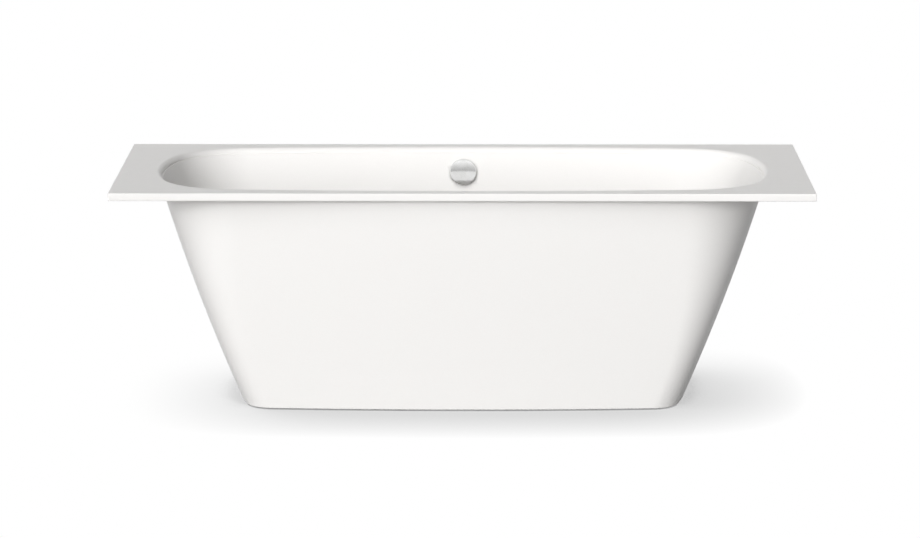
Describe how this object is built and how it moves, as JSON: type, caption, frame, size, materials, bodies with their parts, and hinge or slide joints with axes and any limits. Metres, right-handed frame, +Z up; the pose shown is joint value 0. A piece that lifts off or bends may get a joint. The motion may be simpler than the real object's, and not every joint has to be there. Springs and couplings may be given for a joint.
{
  "type": "built-in bathtub",
  "caption": "Rectangular built-in bathtub with a flat overhanging deck, tapered skirt, sloped bowl, turn-knob overflow, pop-up drain, trap and levelling feet.",
  "frame": {"origin": "on the floor, under the middle of the deck", "axes": "+X along the tub, -Y towards the front, +Z up"},
  "size_m": [1.8, 0.8, 0.59],
  "materials": {
    "solid_surface": "satin matt white mineral composite",
    "board": "moisture-resistant board",
    "zinc_steel": "zinc plated",
    "foot_rubber": "matt black",
    "chrome": "polished chrome",
    "brass": "turned",
    "seal_rubber": "soft matt black",
    "grey_plastic": "moulded grey",
    "white_plastic": "moulded white",
    "dark_plastic": "moulded dark"
  },
  "bodies": {
    "tub": {"deck_slab": "solid_surface", "bowl": "solid_surface", "skirt": "solid_surface", "support_board": "board", "leg_rail_left": "zinc_steel", "leg_rail_right": "zinc_steel", "rail_screws": "zinc_steel", "rail_nuts": "zinc_steel", "lock_nuts": "zinc_steel", "overflow_screws": "zinc_steel", "pipe_clip_upper": "zinc_steel", "pipe_clip_lower": "zinc_steel", "lever_pin": "zinc_steel", "drain_flange": "chrome", "overflow_gasket": "seal_rubber", "drain_washer": "seal_rubber", "drain_gasket": "seal_rubber", "overflow_flange": "grey_plastic", "overflow_housing": "grey_plastic", "overflow_pipe": "grey_plastic", "drain_body": "grey_plastic", "trap_bend": "white_plastic", "outlet_elbow": "white_plastic", "trap_inlet_nut": "white_plastic", "trap_outlet_nut": "white_plastic"},
    "knob": {"overflow_knob": "chrome", "knob_spindle": "brass", "cable_drum": "dark_plastic"},
    "plug": {"drain_plug": "chrome", "plug_seal": "seal_rubber", "plug_stem": "brass"},
    "lever": {"lift_lever": "dark_plastic"},
    "foot_front_left": {"foot_stud_front_left": "zinc_steel", "foot_pad_front_left": "foot_rubber"},
    "foot_front_right": {"foot_stud_front_right": "zinc_steel", "foot_pad_front_right": "foot_rubber"},
    "foot_rear_left": {"foot_stud_rear_left": "zinc_steel", "foot_pad_rear_left": "foot_rubber"},
    "foot_rear_right": {"foot_stud_rear_right": "zinc_steel", "foot_pad_rear_right": "foot_rubber"}
  },
  "joints": [
    {"name": "knob_turn", "type": "hinge", "parent": "tub", "child": "knob", "pos_m": [0, 0.32995, 0.523], "axis": [0, -0.9606, 0.278], "range_deg": [0, 90]},
    {"name": "plug_lift", "type": "slide", "parent": "tub", "child": "plug", "axis": [0, 0, 1], "range_m": [0, 0.012]},
    {"name": "lever_rock", "type": "hinge", "parent": "tub", "child": "lever", "pos_m": [-0.027, 0.08, 0.1055], "axis": [0, -1, 0], "range_deg": [0, 26.4]},
    {"name": "foot_level_front_left", "type": "slide", "parent": "tub", "child": "foot_front_left", "axis": [0, 0, -1], "range_m": [-0.012, 0.012]},
    {"name": "foot_level_front_right", "type": "slide", "parent": "tub", "child": "foot_front_right", "axis": [0, 0, -1], "range_m": [-0.012, 0.012]},
    {"name": "foot_level_rear_left", "type": "slide", "parent": "tub", "child": "foot_rear_left", "axis": [0, 0, -1], "range_m": [-0.012, 0.012]},
    {"name": "foot_level_rear_right", "type": "slide", "parent": "tub", "child": "foot_rear_right", "axis": [0, 0, -1], "range_m": [-0.012, 0.012]}
  ],
  "couplings": [
    {"joint": "plug_lift", "follows": "knob_turn", "m_per_rad": 0.0076394},
    {"joint": "lever_rock", "follows": "knob_turn", "ratio": 0.2932}
  ]
}
